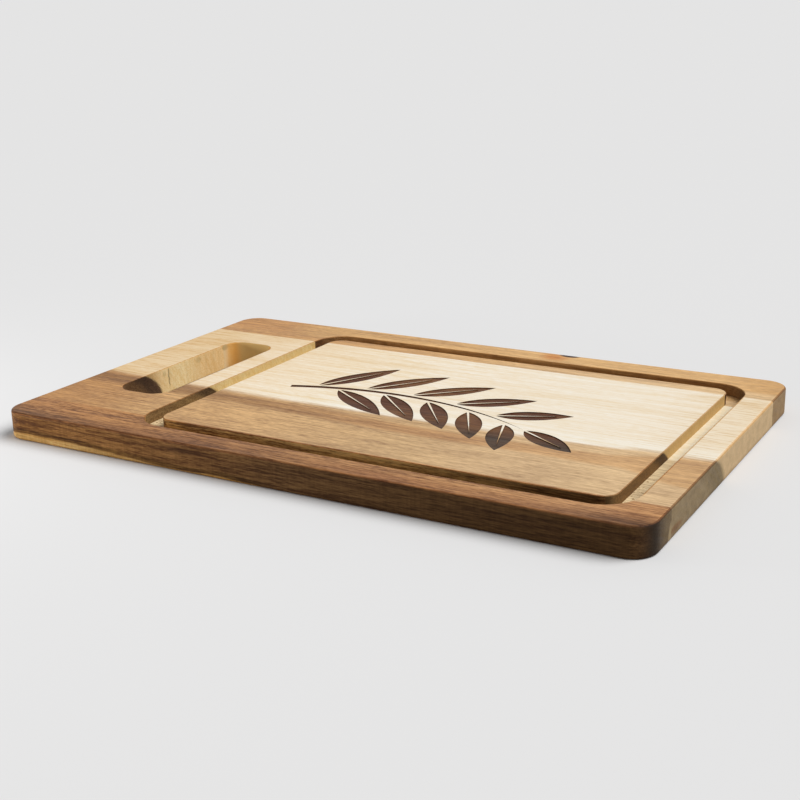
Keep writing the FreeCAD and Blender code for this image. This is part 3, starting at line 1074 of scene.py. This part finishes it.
# Painted light and shade: the long side is painted lighter by the slot end and darker towards the far
# end.
FRONT_SIDE_PAINTED_LIGHT_AND_SHADE = [
    (-190, paint(168, 116, 64)), (-120, paint(171, 120, 68)), (-70, paint(160, 113, 66)),
    (0, paint(134, 98, 61)), (80, paint(107, 77, 46)), (190, paint(97, 69, 40)),
]
# The end's colour, painted almost black towards the near corner as shade where the corner turns from the
# light.
FRONT_END_WITH_PAINTED_SHADE = [
    (-120, paint(44, 33, 22)), (-110, paint(52, 40, 28)), (-104, paint(84, 68, 47)),
    (-98, paint(107, 89, 62)), (-91, paint(113, 94, 67)),
]
FRONT_WALL = paint(128, 92, 52)
# Painted light and shade on the groove's walls along the grain: lighter than the wood by the slot end,
# far darker towards the far end.
FRONT_WALL_PAINTED_LIGHT_AND_SHADE = [
    (-110, (1.58, 2.06, 1.84, 1.0)), (40, (1.02, 1.32, 1.16, 1.0)), (140, (0.30, 0.33, 0.27, 1.0)),
]
WEDGE = dict(centre=(190.0, -92.2, 0.0), radii=(16.0, 3.4, 9.5), ragged=1.0, fade=(0.6, 1.1))
WEDGE_PALE = paint(196, 172, 132)
WEDGE_MOST = 0.5
SMUDGE = dict(centre=(178.0, -112.0, 16.0), radii=(16.0, 9.0, 5.0), ragged=2.0, fade=(0.4, 1.1))
SMUDGE_STAIN = (0.80, 0.76, 0.76, 1.0)
SMEAR = dict(centre=(-68.0, -121.0, 12.0), radii=(26.0, 8.0, 3.4), ragged=2.5, fade=(0.2, 1.2))
SMEAR_STAIN = (0.52, 0.50, 0.56, 1.0)


def front_wood(wood):
    """The front stave's colour, with painted light and shade on its side, end and walls, and where it is
    sapwood.
    """
    g = wood.g
    wandering_y = g.total(wood.y, g.times(wood.figure["Streak"], BY_SIDE_WANDER))
    by_side = g.fall(wandering_y, *BY_SIDE_Y)
    colour = g.blend(by_side, g.ramp(wood.x, FRONT_CLEAR), g.ramp(wood.x, FRONT_BY_SIDE))
    # Painted light and shade on the long side: lighter by the slot end, darker towards the far end.
    colour = g.blend(wood.cuts["Side"], colour, g.ramp(wood.x, FRONT_SIDE_PAINTED_LIGHT_AND_SHADE))
    # Painted shade: the end darkens almost to black towards the near corner.
    colour = g.blend(wood.cuts["End"], colour, g.ramp(wood.y, FRONT_END_WITH_PAINTED_SHADE))
    colour = g.blend(wood.cross_wall, colour, FRONT_WALL)
    # Painted light and shade on the walls along the grain in the groove.
    colour = g.tint(wood.long_wall, colour, g.ramp(wood.x, FRONT_WALL_PAINTED_LIGHT_AND_SHADE))
    return with_strip(wood, colour)


def front_marks(wood, colour):
    """A pale wedge on the end, a dark smudge at the near corner and a smear on the side."""
    g = wood.g
    wedge = g.times(wood.spot(**WEDGE), wood.cuts["End"], WEDGE_MOST)
    colour = g.blend(wedge, colour, WEDGE_PALE)
    colour = g.tint(wood.spot(**SMUDGE), colour, SMUDGE_STAIN)
    return g.tint(g.times(wood.spot(**SMEAR), wood.cuts["Side"]), colour, SMEAR_STAIN)


front_material = stave_material(
    "front_stave_wood", front_wood, front_marks,
    pith_y=-130.0, pith_z=-50.0, ring_width=2.4, swirl=5.0, contrast=(1.8, 1.35),
)
print("front stave:", len(front_material.node_tree.nodes), "nodes")

# %% [markdown]
# Dressing the staves. The solids came in with a plain stand-in material in their slots. Swapping the
# material inside each slot keeps the slots, and with them the link to the CAD model, where clearing
# them and adding new ones could leave a face without any.

# %% Give each stave its wood
for name, material in (
    ("front_stave", front_material),
    ("middle_stave", middle_material),
    ("back_stave", back_material),
):
    for material_slot in staves[name].material_slots:
        material_slot.material = material
    print(name, "wears", material.name)

# %% [markdown]
# Nothing here has added or moved a shape, so the box round the board is still the box of the CAD
# model.
